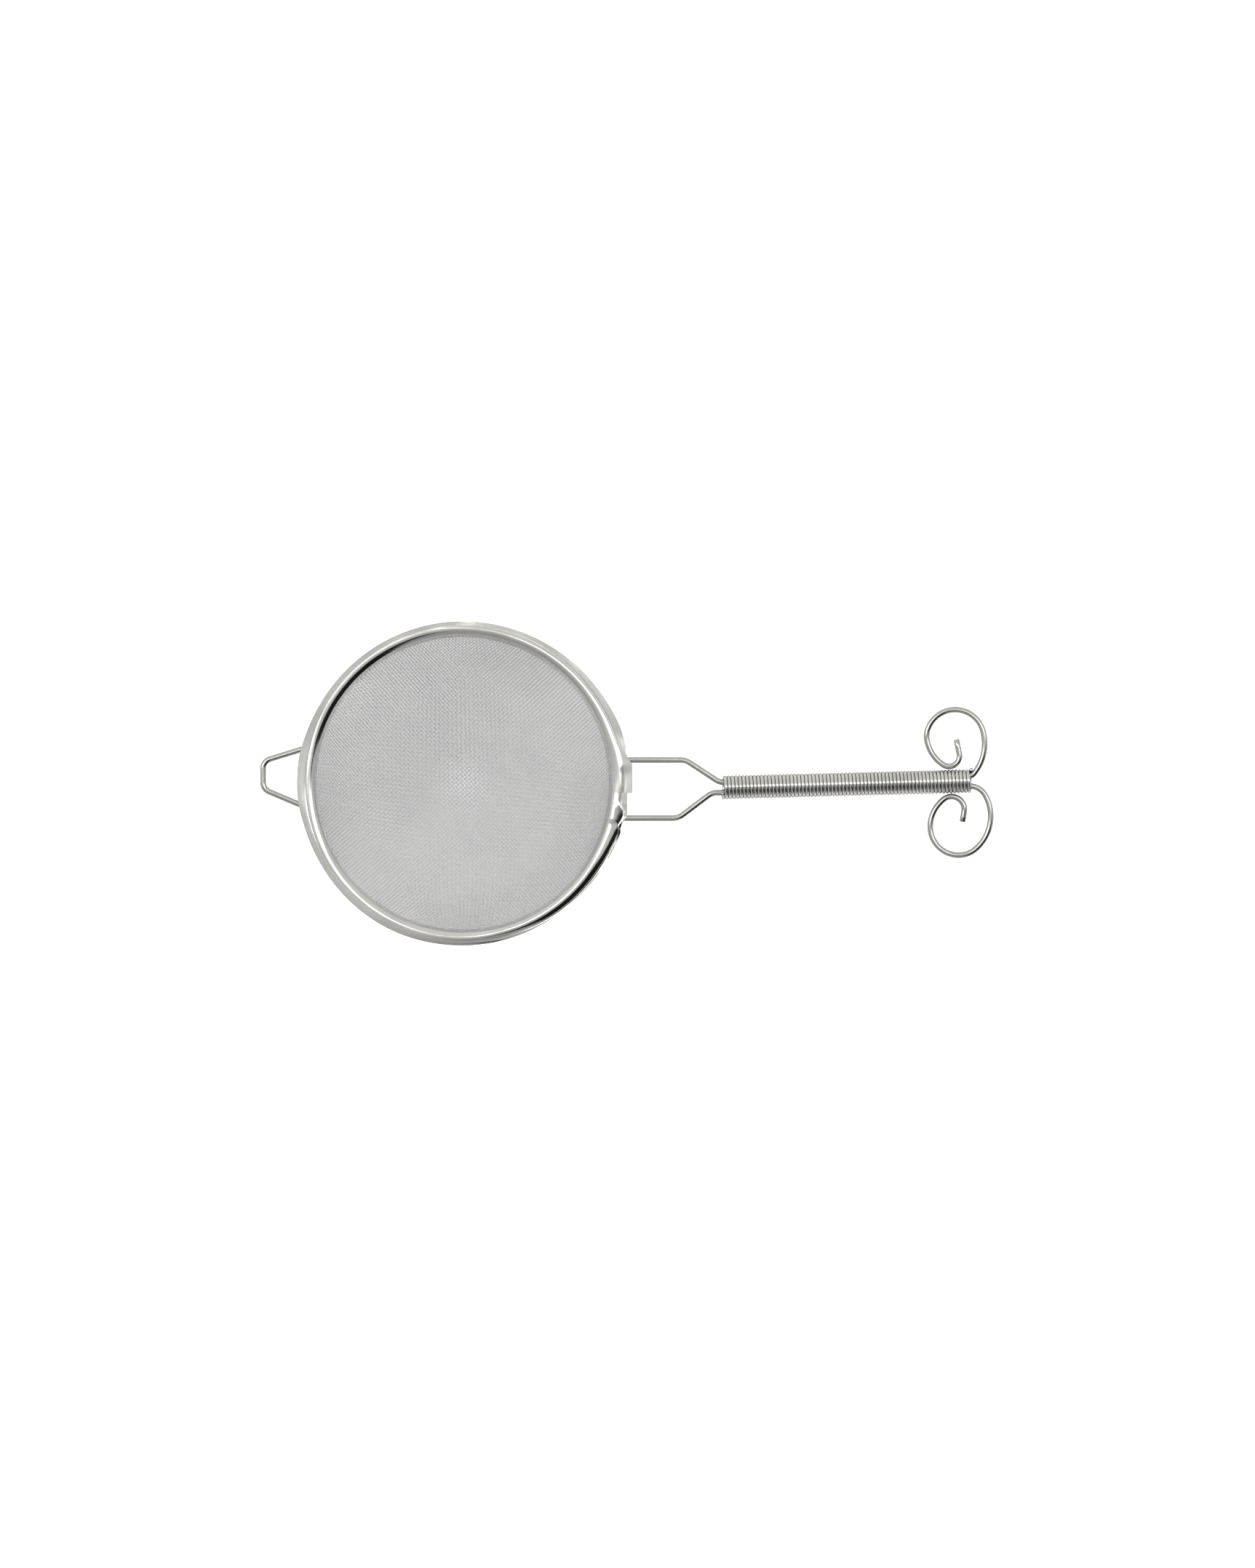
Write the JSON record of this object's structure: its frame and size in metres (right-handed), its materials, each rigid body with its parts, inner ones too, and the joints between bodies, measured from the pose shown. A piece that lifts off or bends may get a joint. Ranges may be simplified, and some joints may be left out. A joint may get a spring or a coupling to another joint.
{
  "type": "fine mesh strainer",
  "caption": "Round dished fine-mesh strainer with a rolled rim band, bent wire legs, a coil-wrapped wire handle with scrolled ends and a front rest loop.",
  "frame": {"origin": "centre of the rim, in the plane of the frame wire", "axes": "+X along the handle, away from the bowl; +Z out of the bowl's mouth; +Y across"},
  "size_m": [0.2007, 0.0888, 0.032],
  "materials": {
    "woven_cloth": "bright drawn stainless wire, plain weave",
    "rim_sheet": "polished stainless sheet with faint forming lines",
    "frame_wire": "bright polished stainless wire",
    "coil_wire": "bright polished stainless wire"
  },
  "bodies": {
    "root": {"mesh_bowl": "woven_cloth", "rim_band": "rim_sheet", "hoop_wire_upper": "frame_wire", "hoop_wire_lower": "frame_wire", "rest_loop": "frame_wire", "leg_wire_upper": "frame_wire", "leg_wire_lower": "frame_wire", "core_wire_upper": "frame_wire", "core_wire_lower": "frame_wire", "scroll_wire_upper": "frame_wire", "scroll_wire_lower": "frame_wire", "handle_coil": "coil_wire"}
  },
  "joints": []
}
